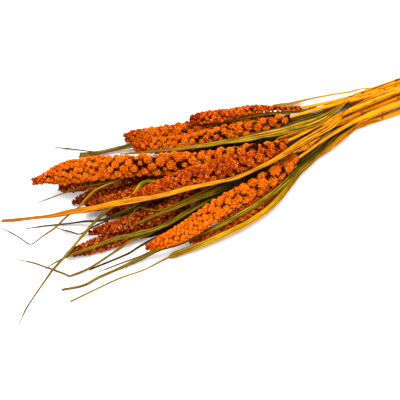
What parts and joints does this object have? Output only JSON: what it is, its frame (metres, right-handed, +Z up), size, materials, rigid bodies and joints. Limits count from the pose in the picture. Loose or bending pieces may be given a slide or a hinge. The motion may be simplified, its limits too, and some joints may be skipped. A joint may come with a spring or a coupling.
{
  "type": "bunch of foxtail millet",
  "caption": "Gathered bunch of dried, dyed foxtail millet: long bumpy seed heads on leafy stalks, lying down, with a fibre tie near the cut ends.",
  "frame": {"origin": "on the surface that the bunch lies on, under the middle of its box", "axes": "+X along the bunch, from the head tips towards the cut ends; +Y across it; +Z up, away from the surface"},
  "size_m": [0.6434, 0.1756, 0.055],
  "materials": {
    "grain_bright": "dyed grain, matte",
    "grain_orange": "dyed grain, matte",
    "grain_red": "dyed grain, matte",
    "grain_deep": "dyed grain, matte",
    "straw": "dry dyed stem and leaf, satin",
    "tie": "plant fibre cord, matte"
  },
  "bodies": {
    "root": {"tie": "tie", "head_near_low": "grain_red", "stalk_near_low": "straw", "head_near_long": "grain_deep", "stalk_near_long": "straw", "head_core_low": "grain_deep", "stalk_core_low": "straw", "head_mid_pointed": "grain_deep", "stalk_mid_pointed": "straw", "head_far_low": "grain_orange", "stalk_far_low": "straw", "head_near_mid": "grain_red", "stalk_near_mid": "straw", "head_near_slim": "grain_deep", "stalk_near_slim": "straw", "head_mid_blunt": "grain_deep", "stalk_mid_blunt": "straw", "head_far_tip": "grain_deep", "stalk_far_tip": "straw", "head_long_top": "grain_bright", "stalk_long_top": "straw", "head_mid_top": "grain_red", "stalk_mid_top": "straw", "head_near_top": "grain_bright", "stalk_near_top": "straw", "head_far_mid": "grain_orange", "stalk_far_mid": "straw", "head_far_top": "grain_red", "stalk_far_top": "straw"}
  },
  "joints": []
}
